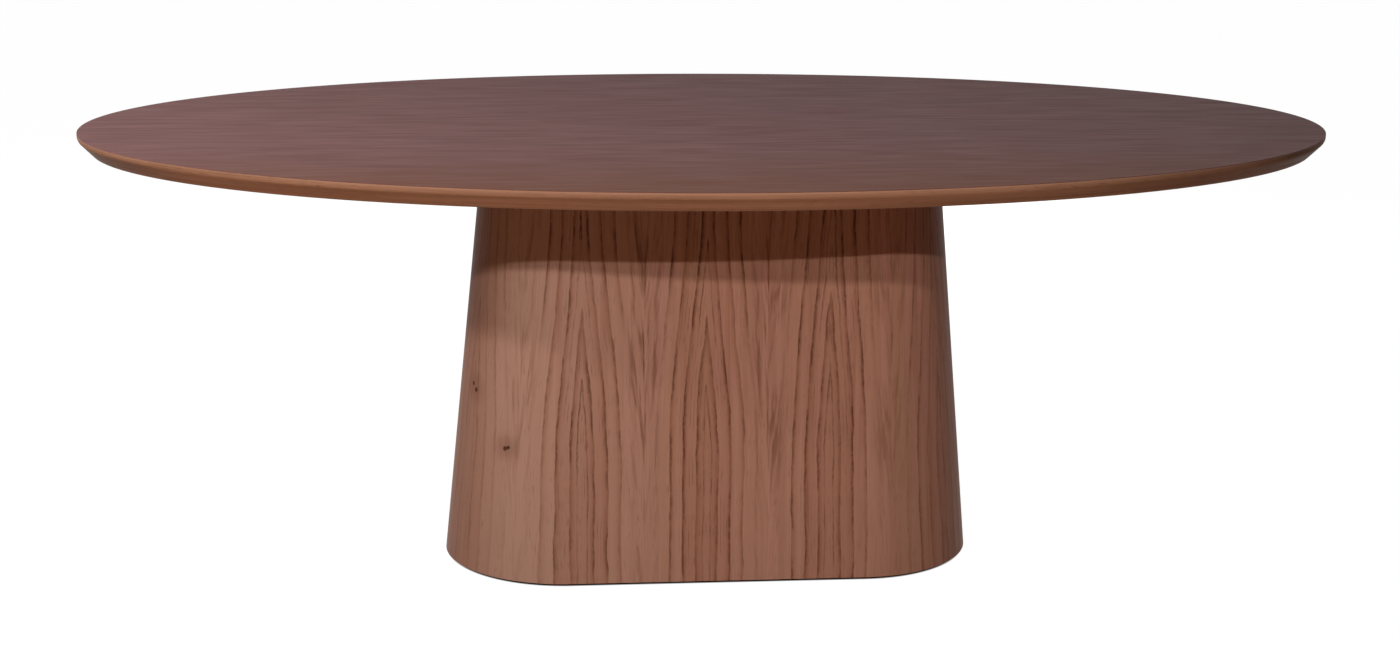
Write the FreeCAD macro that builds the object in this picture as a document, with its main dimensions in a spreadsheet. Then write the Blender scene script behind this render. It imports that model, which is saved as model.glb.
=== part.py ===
import FreeCAD, Part
import Sketcher
import math
import os

# An oval dining table on a tapered pedestal. Lengths are in millimetres.
# The origin is on the floor under the middle of the table, X runs along it and Z is up.
# The front faces minus Y.

doc = FreeCAD.newDocument("OvalTable")
sheet = doc.addObject("Spreadsheet::Sheet", "Sizes")

SIZES = {
    "top_length": "2200",
    "top_width": "1200",
    "table_height": "780",
    "veneer_thickness": "1",
    "core_sheet": "16",
    "lipping_width": "46",
    "edge_height": "9.5",
    "bevel_inset": "24",
    "arris_ease": "0.8",
    "glue_line": "0.1",
    "base_length": "955",
    "base_depth": "430",
    "base_lean": "72",
    "wall_thickness": "15",
    "plate_thickness": "25",
    "rib_thickness": "18",
    "hand_hole": "215",
    "batten_thickness": "30",
    "batten_half_width": "30",
    "bolt_pitch_long": "200",
    "bolt_pitch_across": "120",
    "bolt_diameter": "8",
    "bolt_clearance": "0.5",
    "bolt_head_width": "13",
    "bolt_head_height": "5.3",
    "bolt_engagement": "12",
    "washer_diameter": "18",
    "washer_thickness": "1.6",
    "insert_diameter": "14",
    "insert_length": "15",
    "foot_height": "5",
    "foot_diameter": "40",
    "foot_inset": "48",
    "foot_turn": "30",
    "stud_diameter": "8",
    "stud_length": "35",
    "stud_socket": "3",
    "nut_barrel": "11",
    "nut_length": "20",
    "nut_flange": "24",
    "nut_flange_thickness": "1.6",
    "running_clearance": "0.06",
}

for row, (alias, number) in enumerate(SIZES.items(), 1):
    sheet.set(f"A{row}", alias)
    sheet.set(f"B{row}", number)
    sheet.setAlias(f"B{row}", alias)
doc.recompute()

# Formulas that several sub-parts share
HEIGHT = "Sizes.table_height"
VENEER = "Sizes.veneer_thickness"
TOP_THICKNESS = "(2 * Sizes.core_sheet + 2 * Sizes.veneer_thickness)"
UNDERSIDE = f"({HEIGHT} - {TOP_THICKNESS})"
CORE_BOTTOM = f"({UNDERSIDE} + {VENEER})"
CORE_TOP = f"({HEIGHT} - {VENEER})"
FOOT = "Sizes.foot_height"
BASE_RADIUS = "(Sizes.base_depth / 2)"
STRAIGHT = "((Sizes.base_length - Sizes.base_depth) / 2)"
BASE_HEIGHT = f"({UNDERSIDE} - {FOOT})"
MIDDLE_RADIUS = f"({BASE_RADIUS} - Sizes.base_lean / 2)"
LEAF = f"((4 * {STRAIGHT} + 2 * pi * {MIDDLE_RADIUS}) / 10)"
LEAF_TURN = f"((1.5 * {LEAF} - {STRAIGHT}) / {MIDDLE_RADIUS} * 180 / pi)"
SHELL_OFFSET = f"({VENEER} + Sizes.glue_line)"
INNER_OFFSET = f"({SHELL_OFFSET} + Sizes.wall_thickness + Sizes.glue_line)"
PLATE_BOTTOM = f"({UNDERSIDE} - Sizes.plate_thickness)"
FLOOR_PLATE_TOP = f"({FOOT} + Sizes.plate_thickness)"
RIB_BOTTOM = f"(({PLATE_BOTTOM} + {FLOOR_PLATE_TOP} - Sizes.rib_thickness) / 2)"
RIB_TOP = f"({RIB_BOTTOM} + Sizes.rib_thickness)"
BOLT_X = "Sizes.bolt_pitch_long"
BOLT_Y = "(Sizes.bolt_pitch_across / 2)"
FOOT_RADIUS = f"({BASE_RADIUS} - Sizes.foot_inset)"
FOOT_X = f"({STRAIGHT} + {FOOT_RADIUS} * sin(Sizes.foot_turn * 1 deg))"
FOOT_Y = f"({FOOT_RADIUS} * cos(Sizes.foot_turn * 1 deg))"


def value(formula):
    """The number that a formula gives with the sheet as it stands."""
    result = sheet.evalExpression(formula)
    return float(getattr(result, "Value", result))


def radius_at(height, inwards):
    """Formula for the end radius at a height, a distance inwards of the outer face."""
    return f"({BASE_RADIUS} - Sizes.base_lean * ({height} - {FOOT}) / {BASE_HEIGHT} - {inwards})"


def new_body(name):
    """An empty body, which holds the features of one sub-part."""
    body = doc.addObject("PartDesign::Body", name)
    body.Label = name
    return body


def place(item, x="0", y="0", z="0"):
    """Binds the position of a body or primitive to formulas."""
    for axis, formula in zip("xyz", (x, y, z)):
        if formula != "0":
            item.setExpression(f"Placement.Base.{axis}", formula)
    return item


def origin_plane(body, role):
    """One of the body's own origin planes."""
    return next(item for item in body.Origin.OriginFeatures if item.Role == role)


def new_sketch(body, name, role, rise="0"):
    """A sketch on an origin plane of the body, lifted off it by a formula."""
    sketch = body.newObject("Sketcher::SketchObject", name)
    sketch.AttachmentSupport = [(origin_plane(body, role), "")]
    sketch.MapMode = "FlatFace"
    if rise != "0":
        sketch.setExpression("AttachmentOffset.Base.z", rise)
    return sketch


def bind(sketch, constraint, formula):
    """Adds a dimension to a sketch and binds it to a formula."""
    index = sketch.addConstraint(constraint)
    sketch.setExpression(f"Constraints[{index}]", formula)


def fix_point(sketch, piece, corner, x, y):
    """Ties a point of the sketch to its two coordinates."""
    if x == "0":
        sketch.addConstraint(Sketcher.Constraint("PointOnObject", piece, corner, -2))
    else:
        bind(sketch, Sketcher.Constraint("DistanceX", -1, 1, piece, corner, value(x)), x)
    if y == "0":
        sketch.addConstraint(Sketcher.Constraint("PointOnObject", piece, corner, -1))
    else:
        bind(sketch, Sketcher.Constraint("DistanceY", -1, 1, piece, corner, value(y)), y)


def polygon_sketch(body, name, role, corners):
    """A closed outline whose corners are pairs of formulas."""
    sketch = new_sketch(body, name, role)
    points = [FreeCAD.Vector(value(x), value(y), 0) for x, y in corners]
    count = len(points)
    lines = []
    for index in range(count):
        lines.append(sketch.addGeometry(Part.LineSegment(points[index], points[(index + 1) % count])))
    for index in range(count):
        following = lines[(index + 1) % count]
        sketch.addConstraint(Sketcher.Constraint("Coincident", lines[index], 2, following, 1))
    for line, (x, y) in zip(lines, corners):
        fix_point(sketch, line, 1, x, y)
    return sketch


def ellipse_sketch(body, name, inset, rise):
    """An ellipse that lies a distance inside the outline of the top."""
    length = f"(Sizes.top_length - 2 * {inset})"
    width = f"(Sizes.top_width - 2 * {inset})"
    sketch = new_sketch(body, name, "XY_Plane", rise)
    long_end = FreeCAD.Vector(value(length) / 2, 0, 0)
    short_end = FreeCAD.Vector(0, value(width) / 2, 0)
    ellipse = sketch.addGeometry(Part.Ellipse(long_end, short_end, FreeCAD.Vector(0, 0, 0)))
    sketch.exposeInternalGeometry(ellipse)
    sketch.addConstraint(Sketcher.Constraint("Coincident", ellipse, 3, -1, 1))
    sketch.addConstraint(Sketcher.Constraint("Horizontal", 1))
    bind(sketch, Sketcher.Constraint("Distance", 1, value(length)), length)
    bind(sketch, Sketcher.Constraint("Distance", 2, value(width)), width)
    return sketch


def oblong_sketch(body, name, radius, rise):
    """A round-ended oblong around the middle of the pedestal."""
    sketch = new_sketch(body, name, "XY_Plane", rise)
    half = value(STRAIGHT)
    size = value(radius)
    quarter = math.pi / 2
    up = FreeCAD.Vector(0, 0, 1)
    right_circle = Part.Circle(FreeCAD.Vector(half, 0, 0), up, size)
    left_circle = Part.Circle(FreeCAD.Vector(-half, 0, 0), up, size)
    front_start = FreeCAD.Vector(-half, -size, 0)
    back_start = FreeCAD.Vector(half, size, 0)
    front = sketch.addGeometry(Part.LineSegment(front_start, FreeCAD.Vector(half, -size, 0)))
    right = sketch.addGeometry(Part.ArcOfCircle(right_circle, -quarter, quarter))
    back = sketch.addGeometry(Part.LineSegment(back_start, FreeCAD.Vector(-half, size, 0)))
    left = sketch.addGeometry(Part.ArcOfCircle(left_circle, quarter, 3 * quarter))
    for one, following in ((front, right), (right, back), (back, left), (left, front)):
        sketch.addConstraint(Sketcher.Constraint("Tangent", one, 2, following, 1))
    fix_point(sketch, right, 3, STRAIGHT, "0")
    bind(sketch, Sketcher.Constraint("DistanceX", left, 3, -1, 1, half), STRAIGHT)
    sketch.addConstraint(Sketcher.Constraint("PointOnObject", left, 3, -1))
    bind(sketch, Sketcher.Constraint("Radius", right, size), radius)
    return sketch


def circle_sketch(body, name, circles, rise):
    """Circles, each given as formulas for its centre and its diameter."""
    sketch = new_sketch(body, name, "XY_Plane", rise)
    for x, y, diameter in circles:
        centre = FreeCAD.Vector(value(x), value(y), 0)
        shape = Part.Circle(centre, FreeCAD.Vector(0, 0, 1), value(diameter) / 2)
        circle = sketch.addGeometry(shape)
        fix_point(sketch, circle, 3, x, y)
        bind(sketch, Sketcher.Constraint("Diameter", circle, value(diameter)), diameter)
    return sketch


def pad(body, name, sketch, length, midplane=False, reverse=False):
    """Pads a sketch by a formula."""
    feature = body.newObject("PartDesign::Pad", name)
    feature.Profile = sketch
    feature.setExpression("Length", length)
    feature.Midplane = midplane
    feature.Reversed = reverse
    return feature


def revolve(body, name, sketch, turn):
    """Turns a sketch about its upright axis, by a formula in degrees."""
    feature = body.newObject("PartDesign::Revolution", name)
    feature.Profile = sketch
    feature.ReferenceAxis = (sketch, ["V_Axis"])
    feature.setExpression("Angle", turn)
    return feature


def drill(body, name, sketch, depth):
    """Pockets a sketch upwards by a formula, and checks that it took material away."""
    doc.recompute()
    before = body.Shape.Volume
    feature = body.newObject("PartDesign::Pocket", name)
    feature.Profile = sketch
    feature.setExpression("Length", depth)
    feature.Reversed = True
    doc.recompute()
    if body.Shape.Volume > before - 1:
        raise RuntimeError(f"{name} takes nothing away")
    return feature


def repeat_grid(body, name, feature, sketch):
    """Repeats a feature at the three by two bolt places, starting at the lowest corner."""
    doc.recompute()
    grid = body.newObject("PartDesign::MultiTransform", name)
    grid.Originals = [feature]
    along = body.newObject("PartDesign::LinearPattern", f"{name}_along")
    along.Direction = (sketch, ["H_Axis"])
    along.setExpression("Length", "2 * Sizes.bolt_pitch_long")
    along.Occurrences = 3
    across = body.newObject("PartDesign::LinearPattern", f"{name}_across")
    across.Direction = (sketch, ["V_Axis"])
    across.setExpression("Length", "Sizes.bolt_pitch_across")
    across.Occurrences = 2
    grid.Transformations = [along, across]
    body.Tip = grid
    return grid


def repeat_corners(body, name, feature):
    """Repeats a feature of the front right corner at the other three corners."""
    doc.recompute()
    corners = body.newObject("PartDesign::MultiTransform", name)
    corners.Originals = [feature]
    sideways = body.newObject("PartDesign::Mirrored", f"{name}_sideways")
    sideways.MirrorPlane = (origin_plane(body, "YZ_Plane"), [""])
    backwards = body.newObject("PartDesign::Mirrored", f"{name}_backwards")
    backwards.MirrorPlane = (origin_plane(body, "XZ_Plane"), [""])
    corners.Transformations = [sideways, backwards]
    body.Tip = corners
    return corners


def mirror(name, source, normal):
    """A mirrored twin of a sub-part, across a plane through the origin."""
    twin = doc.addObject("Part::Mirroring", name)
    twin.Label = name
    twin.Source = source
    twin.Normal = normal
    return twin


def box(name, length, width, depth, x, y, z):
    """A box from its lowest corner, all formulas."""
    item = doc.addObject("Part::Box", name)
    item.setExpression("Length", length)
    item.setExpression("Width", width)
    item.setExpression("Height", depth)
    return place(item, x, y, z)


def common(name, base, tool):
    """What two shapes share."""
    item = doc.addObject("Part::Common", name)
    item.Label = name
    item.Base = base
    item.Tool = tool
    return item


def cut(name, base, tool):
    """One shape less another."""
    item = doc.addObject("Part::Cut", name)
    item.Label = name
    item.Base = base
    item.Tool = tool
    return item


finished = []


def keep(item):
    """Marks an item as a sub-part that is written out."""
    finished.append(item)
    return item


# The top as one moulded blank, which the face, lipping and backing are parted from
blank = new_body("top_blank")
edge_outline = ellipse_sketch(blank, "edge_outline", "0", f"{HEIGHT} - Sizes.edge_height")
pad(blank, "edge", edge_outline, "Sizes.edge_height - Sizes.arris_ease")
arris_start = ellipse_sketch(blank, "arris_start", "0", f"{HEIGHT} - Sizes.arris_ease")
arris_end = ellipse_sketch(blank, "arris_end", "Sizes.arris_ease", HEIGHT)
arris = blank.newObject("PartDesign::AdditiveLoft", "arris")
arris.Profile = arris_start
arris.Sections = [arris_end]
arris.Ruled = True
bevel_start = ellipse_sketch(blank, "bevel_start", "0", f"{HEIGHT} - Sizes.edge_height")
bevel_end = ellipse_sketch(blank, "bevel_end", "Sizes.bevel_inset", UNDERSIDE)
bevel = blank.newObject("PartDesign::AdditiveLoft", "bevel")
bevel.Profile = bevel_start
bevel.Sections = [bevel_end]
bevel.Ruled = True
doc.recompute()

# Five leaves of face veneer, numbered from the front
for number in range(5):
    leaf_width = "Sizes.top_width / 5"
    lowest = f"Sizes.top_width * ({number} / 5 - 0.5)"
    strip = box(f"face_strip_{number + 1}", "Sizes.top_length", leaf_width, VENEER,
                "-Sizes.top_length / 2", lowest, CORE_TOP)
    keep(common(f"top_face_leaf_{number + 1}", blank, strip))

# Eight lengths of lipping, each between two angles round the middle of the top, in degrees
band = box("lipping_band", "Sizes.top_length", "Sizes.top_width", "2 * Sizes.core_sheet",
           "-Sizes.top_length / 2", "-Sizes.top_width / 2", CORE_BOTTOM)
core_room = new_body("core_room")
room_outline = ellipse_sketch(core_room, "room_outline", "Sizes.lipping_width", CORE_BOTTOM)
pad(core_room, "room", room_outline, "2 * Sizes.core_sheet")
ring = cut("lipping_ring", common("lipping_blank", blank, band), core_room)

LIPPING_ANGLES = {
    "lipping_right_end": (-18, 18),
    "lipping_back_right": (18, 50),
    "lipping_back": (50, 130),
    "lipping_back_left": (130, 162),
    "lipping_left_end": (162, 198),
    "lipping_front_left": (198, 230),
    "lipping_front": (230, 310),
    "lipping_front_right": (310, 342),
}
for name, (first, last) in LIPPING_ANGLES.items():
    sector = doc.addObject("Part::Cylinder", f"{name}_sector")
    sector.setExpression("Radius", "Sizes.top_length")
    sector.setExpression("Height", "2 * Sizes.core_sheet")
    sector.Angle = last - first
    sector.Placement.Rotation = FreeCAD.Rotation(FreeCAD.Vector(0, 0, 1), first)
    place(sector, z=CORE_BOTTOM)
    keep(common(name, ring, sector))

# Two core sheets, the lower one drilled for the threaded inserts
core_inset = "(Sizes.lipping_width + Sizes.glue_line)"
upper_core = new_body("top_core_upper")
upper_outline = ellipse_sketch(upper_core, "upper_outline", core_inset, f"{CORE_BOTTOM} + Sizes.core_sheet")
pad(upper_core, "upper_sheet", upper_outline, "Sizes.core_sheet")
keep(upper_core)

lower_core = new_body("top_core_lower")
lower_outline = ellipse_sketch(lower_core, "lower_outline", core_inset, CORE_BOTTOM)
pad(lower_core, "lower_sheet", lower_outline, "Sizes.core_sheet")
insert_room = "Sizes.insert_diameter + 2 * Sizes.glue_line"
first_bolt = (f"-{BOLT_X}", f"-{BOLT_Y}")
insert_hole = circle_sketch(lower_core, "insert_hole", [(*first_bolt, insert_room)], CORE_BOTTOM)
insert_pocket = drill(lower_core, "insert_pocket", insert_hole, "Sizes.insert_length")
repeat_grid(lower_core, "insert_pockets", insert_pocket, insert_hole)
keep(lower_core)

# The backing sheet, pierced for the bolts
bolt_hole = "(Sizes.bolt_diameter + 2 * Sizes.bolt_clearance)"
piercing = new_body("backing_piercing")
piercing_circle = circle_sketch(piercing, "piercing_circle", [(*first_bolt, bolt_hole)], UNDERSIDE)
piercing_pin = pad(piercing, "piercing_pin", piercing_circle, VENEER)
repeat_grid(piercing, "piercing_pins", piercing_pin, piercing_circle)
backing_slab = box("backing_slab", "Sizes.top_length", "Sizes.top_width", VENEER,
                   "-Sizes.top_length / 2", "-Sizes.top_width / 2", UNDERSIDE)
keep(cut("top_backing", common("backing_blank", blank, backing_slab), piercing))


def wall_section(body, low, high, inwards, thickness):
    """The leaning section of a skin of the pedestal, drawn on its front."""
    inner = f"({inwards} + {thickness})"
    corners = [
        (f"-{radius_at(low, inwards)}", low),
        (f"-{radius_at(low, inner)}", low),
        (f"-{radius_at(high, inner)}", high),
        (f"-{radius_at(high, inwards)}", high),
    ]
    return polygon_sketch(body, f"{body.Name}_section", "YZ_Plane", corners)


def flat_skin(name, inwards, thickness, width):
    """A flat skin across the middle of the front, over the whole height."""
    body = new_body(name)
    section = wall_section(body, FOOT, UNDERSIDE, inwards, thickness)
    pad(body, f"{name}_pad", section, width, midplane=True)
    return body


def corner_skin(name, low, high, inwards, thickness, flat, turn):
    """A skin that runs from the flat front around the start of the right end."""
    body = place(new_body(name), x=STRAIGHT)
    section = wall_section(body, low, high, inwards, thickness)
    pad(body, f"{name}_flat", section, flat, reverse=True)
    revolve(body, f"{name}_round", section, turn)
    return body


def end_skin(name, inwards, thickness, start, turn):
    """A skin around the right end only, from a start angle behind the flat front."""
    body = place(new_body(name), x=STRAIGHT)
    section = wall_section(body, FOOT, UNDERSIDE, inwards, thickness)
    revolve(body, f"{name}_round", section, turn)
    if start != "0":
        body.setExpression("Placement.Rotation.Angle", f"{start} * 1 deg")
    return body


ACROSS_LENGTH = (1, 0, 0)
ACROSS_DEPTH = (0, 1, 0)

# Ten leaves of veneer around the pedestal, laid out by their width at half height
front_leaf = keep(flat_skin("base_leaf_front", "0", VENEER, LEAF))
keep(mirror("base_leaf_back", front_leaf, ACROSS_DEPTH))
side_leaf = keep(corner_skin("base_leaf_front_right", FOOT, UNDERSIDE, "0", VENEER,
                             f"{STRAIGHT} - {LEAF} / 2", LEAF_TURN))
side_leaf_left = keep(mirror("base_leaf_front_left", side_leaf, ACROSS_LENGTH))
keep(mirror("base_leaf_back_right", side_leaf, ACROSS_DEPTH))
keep(mirror("base_leaf_back_left", side_leaf_left, ACROSS_DEPTH))
end_leaf = keep(end_skin("base_leaf_right_end_front", "0", VENEER, LEAF_TURN, f"90 - {LEAF_TURN}"))
end_leaf_left = keep(mirror("base_leaf_left_end_front", end_leaf, ACROSS_LENGTH))
keep(mirror("base_leaf_right_end_back", end_leaf, ACROSS_DEPTH))
keep(mirror("base_leaf_left_end_back", end_leaf_left, ACROSS_DEPTH))

# The walls under the veneer
front_panel = keep(flat_skin("front_panel", SHELL_OFFSET, "Sizes.wall_thickness", f"2 * {STRAIGHT}"))
keep(mirror("back_panel", front_panel, ACROSS_DEPTH))
right_shell = keep(end_skin("right_end_shell", SHELL_OFFSET, "Sizes.wall_thickness", "0", "180"))
keep(mirror("left_end_shell", right_shell, ACROSS_LENGTH))

# Battens behind the joints of panels and shells
BATTEN_SPANS = {
    "lower": (FLOOR_PLATE_TOP, RIB_BOTTOM),
    "upper": (RIB_TOP, PLATE_BOTTOM),
}
for level, (low, high) in BATTEN_SPANS.items():
    batten_turn = f"(Sizes.batten_half_width / {MIDDLE_RADIUS} * 180 / pi)"
    batten = corner_skin(f"batten_{level}_front_right", low, high, INNER_OFFSET, "Sizes.batten_thickness",
                         "Sizes.batten_half_width", batten_turn)
    keep(batten)
    batten_left = keep(mirror(f"batten_{level}_front_left", batten, ACROSS_LENGTH))
    keep(mirror(f"batten_{level}_back_right", batten, ACROSS_DEPTH))
    keep(mirror(f"batten_{level}_back_left", batten_left, ACROSS_DEPTH))


def oblong_plate(name, low, thickness):
    """A plate that fills the pedestal between the walls, with edges that lean with them."""
    body = new_body(name)
    outline = oblong_sketch(body, f"{name}_outline", radius_at(low, INNER_OFFSET), low)
    slab = pad(body, f"{name}_slab", outline, thickness)
    slab.setExpression("TaperAngle", f"-atan(Sizes.base_lean / {BASE_HEIGHT})")
    return body


def add_hand_holes(body, low, thickness):
    """Two round holes, through which a hand reaches the bolts."""
    centre = "(0.7 * Sizes.bolt_pitch_long)"
    circles = [(centre, "0", "Sizes.hand_hole"), (f"-{centre}", "0", "Sizes.hand_hole")]
    holes = circle_sketch(body, f"{body.Name}_hand_circles", circles, low)
    drill(body, f"{body.Name}_hand_holes", holes, thickness)


# Plates and rib inside the pedestal
bottom_plate = oblong_plate("bottom_plate", FOOT, "Sizes.plate_thickness")
add_hand_holes(bottom_plate, FOOT, "Sizes.plate_thickness")
barrel_room = "(Sizes.nut_barrel + 2 * Sizes.glue_line)"
flange_room = "(Sizes.nut_flange + 2 * Sizes.glue_line)"
foot_place = (FOOT_X, f"-{FOOT_Y}")
nut_circle = circle_sketch(bottom_plate, "nut_circle", [(*foot_place, barrel_room)], FOOT)
nut_hole = drill(bottom_plate, "nut_hole", nut_circle, "Sizes.plate_thickness")
repeat_corners(bottom_plate, "nut_holes", nut_hole)
flange_circle = circle_sketch(bottom_plate, "flange_circle", [(*foot_place, flange_room)], FOOT)
flange_recess = drill(bottom_plate, "flange_recess", flange_circle, "Sizes.nut_flange_thickness")
repeat_corners(bottom_plate, "flange_recesses", flange_recess)
keep(bottom_plate)

rib = oblong_plate("middle_rib", RIB_BOTTOM, "Sizes.rib_thickness")
add_hand_holes(rib, RIB_BOTTOM, "Sizes.rib_thickness")
keep(rib)

top_plate = oblong_plate("top_plate", PLATE_BOTTOM, "Sizes.plate_thickness")
bolt_circle = circle_sketch(top_plate, "bolt_circle", [(*first_bolt, bolt_hole)], PLATE_BOTTOM)
plate_hole = drill(top_plate, "plate_hole", bolt_circle, "Sizes.plate_thickness")
repeat_grid(top_plate, "plate_holes", plate_hole, bolt_circle)
keep(top_plate)

# Inserts, bolts and washers that hold the top to the top plate
inserts = new_body("top_inserts")
insert_bore = "(Sizes.bolt_diameter + 2 * Sizes.running_clearance)"
insert_circles = [(*first_bolt, "Sizes.insert_diameter"), (*first_bolt, insert_bore)]
insert_ring = circle_sketch(inserts, "insert_ring", insert_circles, CORE_BOTTOM)
insert = pad(inserts, "insert", insert_ring, "Sizes.insert_length")
repeat_grid(inserts, "insert_grid", insert, insert_ring)
keep(inserts)

washer_bottom = f"({PLATE_BOTTOM} - Sizes.washer_thickness)"
washers = new_body("top_washers")
washer_circles = [(*first_bolt, "Sizes.washer_diameter"), (*first_bolt, bolt_hole)]
washer_ring = circle_sketch(washers, "washer_ring", washer_circles, washer_bottom)
washer = pad(washers, "washer", washer_ring, "Sizes.washer_thickness")
repeat_grid(washers, "washer_grid", washer, washer_ring)
keep(washers)

bolt_parts = []
for along in (-1, 0, 1):
    for across in (-0.5, 0.5):
        number = len(bolt_parts) + 1
        bolt_x = f"{along} * Sizes.bolt_pitch_long"
        bolt_y = f"{across} * Sizes.bolt_pitch_across"
        head = doc.addObject("Part::Prism", f"bolt_head_{number}")
        head.Polygon = 6
        head.setExpression("Circumradius", "Sizes.bolt_head_width / sqrt(3)")
        head.setExpression("Height", "Sizes.bolt_head_height")
        place(head, bolt_x, bolt_y, f"{washer_bottom} - Sizes.bolt_head_height")
        shank = doc.addObject("Part::Cylinder", f"bolt_shank_{number}")
        shank.setExpression("Radius", "Sizes.bolt_diameter / 2")
        shank.setExpression("Height", f"{CORE_BOTTOM} + Sizes.bolt_engagement - {washer_bottom}")
        place(shank, bolt_x, bolt_y, washer_bottom)
        bolt = doc.addObject("Part::Fuse", f"bolt_{number}")
        bolt.Base = head
        bolt.Tool = shank
        bolt_parts.append(bolt)
bolts = doc.addObject("Part::Compound", "top_bolts")
bolts.Label = "top_bolts"
bolts.Links = bolt_parts
keep(bolts)

# Tee nuts in the bottom plate, and the four levelling feet
nut_bore = "(Sizes.stud_diameter + 2 * Sizes.running_clearance)"
nuts = new_body("foot_nuts")
barrel_circles = [(*foot_place, "Sizes.nut_barrel"), (*foot_place, nut_bore)]
barrel_ring = circle_sketch(nuts, "barrel_ring", barrel_circles, FOOT)
barrel = pad(nuts, "barrel", barrel_ring, "Sizes.nut_length")
flange_circles = [(*foot_place, "Sizes.nut_flange"), (*foot_place, nut_bore)]
flange_ring = circle_sketch(nuts, "flange_ring", flange_circles, FOOT)
flange = pad(nuts, "flange", flange_ring, "Sizes.nut_flange_thickness")
doc.recompute()
all_nuts = repeat_corners(nuts, "nut_corners", barrel)
all_nuts.Originals = [barrel, flange]
keep(nuts)

CORNERS = {
    "front_right": ("", "-"),
    "front_left": ("-", "-"),
    "back_right": ("", ""),
    "back_left": ("-", ""),
}
socket_floor = f"({FOOT} - Sizes.stud_socket)"
pad_radius = "(Sizes.foot_diameter / 2)"
socket_radius = "(Sizes.stud_diameter / 2 + Sizes.running_clearance)"
PAD_CORNERS = [
    ("0", "0"),
    (pad_radius, "0"),
    (pad_radius, FOOT),
    (socket_radius, FOOT),
    (socket_radius, socket_floor),
    ("0", socket_floor),
]
for corner, (side, depth) in CORNERS.items():
    foot_x = f"{side}{FOOT_X}"
    foot_y = f"{depth}{FOOT_Y}"
    foot_pad = place(new_body(f"foot_pad_{corner}"), foot_x, foot_y)
    pad_outline = polygon_sketch(foot_pad, f"pad_outline_{corner}", "XZ_Plane", PAD_CORNERS)
    revolve(foot_pad, f"pad_turned_{corner}", pad_outline, "360")
    keep(foot_pad)
    stud = doc.addObject("Part::Cylinder", f"foot_stud_{corner}")
    stud.Label = f"foot_stud_{corner}"
    stud.setExpression("Radius", "Sizes.stud_diameter / 2")
    stud.setExpression("Height", "Sizes.stud_length")
    keep(place(stud, foot_x, foot_y, socket_floor))

doc.recompute()

# Every sub-part is checked, then written to a file named after its label
for item in doc.Objects:
    if "Invalid" in item.State or "Error" in item.State:
        raise RuntimeError(f"{item.Name} did not build")
SOLIDS_IN_GROUP = {"top_inserts": 6, "top_washers": 6, "top_bolts": 6, "foot_nuts": 4}
os.makedirs("parts", exist_ok=True)
for item in finished:
    shape = item.Shape
    if shape.isNull() or not shape.isValid():
        raise RuntimeError(f"{item.Label} has no sound shape")
    if len(shape.Solids) != SOLIDS_IN_GROUP.get(item.Label, 1):
        raise RuntimeError(f"{item.Label} has {len(shape.Solids)} solids")
    shape.exportStep(f"parts/{item.Label}.step")
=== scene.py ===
"""Oval dining table on a tapered pedestal, dressed in veneer over its packed construction model."""

import math

import bmesh
import bpy
from bpy.props import FloatProperty
from bpy.props import FloatVectorProperty
from bpy.props import IntProperty
from bpy.props import PointerProperty
from mathutils import Matrix
from mathutils import Vector


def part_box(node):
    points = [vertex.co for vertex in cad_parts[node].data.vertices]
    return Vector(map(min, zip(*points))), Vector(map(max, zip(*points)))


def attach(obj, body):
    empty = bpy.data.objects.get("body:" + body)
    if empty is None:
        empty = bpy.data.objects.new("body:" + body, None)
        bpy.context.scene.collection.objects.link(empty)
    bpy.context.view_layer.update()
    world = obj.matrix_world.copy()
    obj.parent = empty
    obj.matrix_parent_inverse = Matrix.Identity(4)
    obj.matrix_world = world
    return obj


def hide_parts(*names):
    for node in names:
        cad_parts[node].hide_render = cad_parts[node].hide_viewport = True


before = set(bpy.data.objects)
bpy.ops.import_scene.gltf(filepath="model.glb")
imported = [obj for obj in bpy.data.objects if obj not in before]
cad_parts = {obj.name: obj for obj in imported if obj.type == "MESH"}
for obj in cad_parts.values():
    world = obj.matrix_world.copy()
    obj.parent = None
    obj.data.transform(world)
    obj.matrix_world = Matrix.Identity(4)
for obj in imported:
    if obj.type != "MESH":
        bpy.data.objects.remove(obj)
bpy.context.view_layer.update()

bl_info = {
    "name": "Oval Pedestal Table",
    "version": (1, 0, 0),
    "blender": (4, 5, 0),
    "location": "View3D > Sidebar > Table",
    "description": "Veneers, lipping, finishes and stage of an oval dining table",
    "category": "Object",
}

TINY = 0.00002
TABLE_BODY = "table"
CENTRE = (0.0, 0.0, 0.0)

FACE_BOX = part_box("top_face_leaf_3")
LIPPING_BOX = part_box("lipping_front")
FRONT_LEAF_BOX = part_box("base_leaf_front")
END_LEAF_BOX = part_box("base_leaf_right_end_front")

# Joints between the five face leaves, as places across the table, front to back
FACE_JOINTS = [
    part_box("top_face_leaf_1")[1].y,
    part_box("top_face_leaf_2")[1].y,
    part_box("top_face_leaf_3")[1].y,
    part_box("top_face_leaf_4")[1].y,
]

# Where each length of lipping starts and ends, in degrees round the top from its right end
LIPPING_ENDS = {
    "lipping_right_end": (-18.0, 18.0),
    "lipping_back_right": (18.0, 50.0),
    "lipping_back": (50.0, 130.0),
    "lipping_back_left": (130.0, 162.0),
    "lipping_left_end": (162.0, 198.0),
    "lipping_front_left": (198.0, 230.0),
    "lipping_front": (230.0, 310.0),
    "lipping_front_right": (310.0, 342.0),
}


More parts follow.
